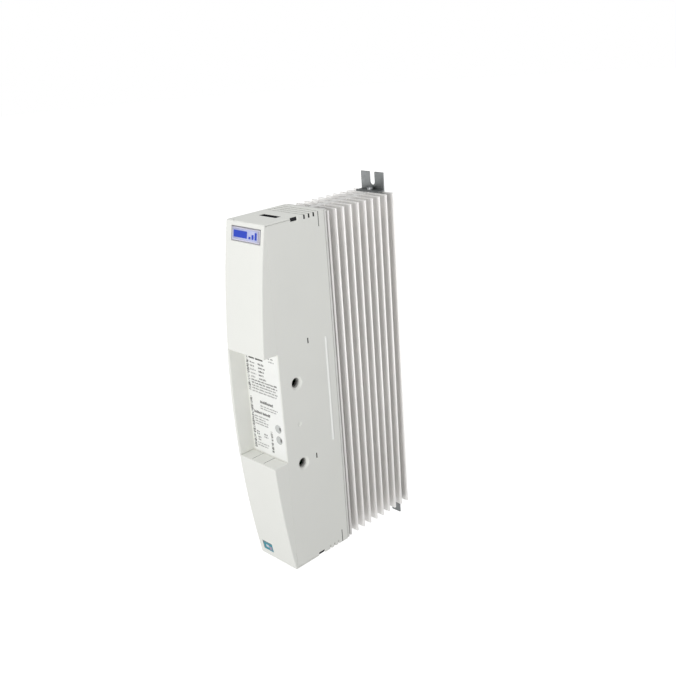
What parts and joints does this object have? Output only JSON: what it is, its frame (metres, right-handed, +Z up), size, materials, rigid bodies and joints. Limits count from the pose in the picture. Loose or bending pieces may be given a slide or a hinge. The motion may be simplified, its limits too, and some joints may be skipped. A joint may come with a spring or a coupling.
{
  "type": "servo drive",
  "caption": "Tall, narrow cabinet drive module: bowed plastic casing with removable wedge covers and a label recess, on a finned aluminium heatsink with slotted brackets.",
  "frame": {"origin": "middle of the heatsink's back face, the plane that lies on the cabinet wall, at mid-height of the casing", "axes": "+X towards the side panel (right seen from the front), +Y into the wall, +Z up"},
  "size_m": [0.054, 0.186, 0.385],
  "materials": {
    "casing_white": "fine-textured moulded plastic",
    "cover_white": "fine-textured moulded plastic",
    "badge_silver": "satin silver lacquer",
    "badge_blue": "printed blue",
    "emblem_teal": "printed teal",
    "label_film": "matt white printed film",
    "seal_grey": "grey foil dots",
    "frame_steel": "light grey sheet steel",
    "gasket_black": "matt black gasket",
    "aluminium": "natural extruded aluminium",
    "zinc_steel": "zinc-plated sheet steel",
    "screw_steel": "zinc-plated steel",
    "earth_steel": "tinned sheet steel",
    "thermal_pad": "soft grey-violet pad",
    "module_plastic": "potted cream plastic",
    "black_plastic": "black moulded plastic",
    "board_green": "solder-resist green",
    "capacitor_sleeve": "dark blue shrink sleeve",
    "ferrite": "coated dark core",
    "copper": "lacquered copper wire",
    "transformer_core": "taped winding on a laminated core",
    "plug_green": "green terminal plastic",
    "dip_red": "red switch body",
    "slider_white": "white slider",
    "led_green": "tinted lens",
    "ribbon_grey": "grey flat cable"
  },
  "bodies": {
    "casing": {"housing_tray": "casing_white", "front_bulkhead": "casing_white", "side_panel": "casing_white", "rating_label": "label_film", "inspection_seals": "seal_grey", "rear_frame": "frame_steel", "frame_gasket": "gasket_black", "heatsink": "aluminium", "upper_bracket": "zinc_steel", "lower_bracket": "zinc_steel", "frame_screws": "screw_steel", "bracket_screws": "screw_steel", "frame_spacers": "screw_steel", "board_spacers": "screw_steel", "board_screws": "screw_steel", "mains_clamps": "screw_steel", "mains_screws": "screw_steel", "bus_clamps": "screw_steel", "bus_screws": "screw_steel", "motor_pins": "screw_steel", "control_pins": "screw_steel", "encoder_socket": "screw_steel", "earth_screws": "screw_steel", "earth_bracket": "earth_steel", "thermal_pads": "thermal_pad", "power_module": "module_plastic", "release_latches": "black_plastic", "rectifier_bridge": "black_plastic", "current_sensors": "black_plastic", "precharge_relay": "black_plastic", "processor": "black_plastic", "mains_terminals": "black_plastic", "bus_terminals": "black_plastic", "motor_socket": "black_plastic", "control_socket": "black_plastic", "ribbon_sockets": "black_plastic", "power_board": "board_green", "control_board": "board_green", "dc_link_capacitors": "capacitor_sleeve", "choke_core": "ferrite", "choke_winding": "copper", "supply_transformer": "transformer_core", "dip_switch": "dip_red", "status_leds": "led_green", "ribbon_cable": "ribbon_grey"},
    "upper_cover": {"upper_cover": "cover_white", "badge_plate": "badge_silver", "badge_mark": "badge_blue"},
    "lower_cover": {"lower_cover": "cover_white", "lower_emblem": "emblem_teal"},
    "motor_plug": {"motor_plug": "plug_green", "motor_plug_screws": "screw_steel"},
    "control_plug": {"control_plug": "plug_green", "control_plug_screws": "screw_steel"},
    "dip_slider_1": {"dip_slider_1": "slider_white"},
    "dip_slider_2": {"dip_slider_2": "slider_white"},
    "dip_slider_3": {"dip_slider_3": "slider_white"},
    "dip_slider_4": {"dip_slider_4": "slider_white"}
  },
  "joints": [
    {"name": "upper_cover_pull", "type": "slide", "parent": "casing", "child": "upper_cover", "axis": [0, -1, 0], "range_m": [0, 0.045]},
    {"name": "lower_cover_pull", "type": "slide", "parent": "casing", "child": "lower_cover", "axis": [0, -1, 0], "range_m": [0, 0.045]},
    {"name": "motor_plug_pull", "type": "slide", "parent": "casing", "child": "motor_plug", "axis": [0, -1, 0], "range_m": [0, 0.0085]},
    {"name": "control_plug_pull", "type": "slide", "parent": "casing", "child": "control_plug", "axis": [0, -1, 0], "range_m": [0, 0.0085]},
    {"name": "dip_switch_1", "type": "slide", "parent": "casing", "child": "dip_slider_1", "axis": [0, 0, 1], "range_m": [0, 0.0018]},
    {"name": "dip_switch_2", "type": "slide", "parent": "casing", "child": "dip_slider_2", "axis": [0, 0, 1], "range_m": [0, 0.0018]},
    {"name": "dip_switch_3", "type": "slide", "parent": "casing", "child": "dip_slider_3", "axis": [0, 0, 1], "range_m": [0, 0.0018]},
    {"name": "dip_switch_4", "type": "slide", "parent": "casing", "child": "dip_slider_4", "axis": [0, 0, 1], "range_m": [0, 0.0018]}
  ]
}
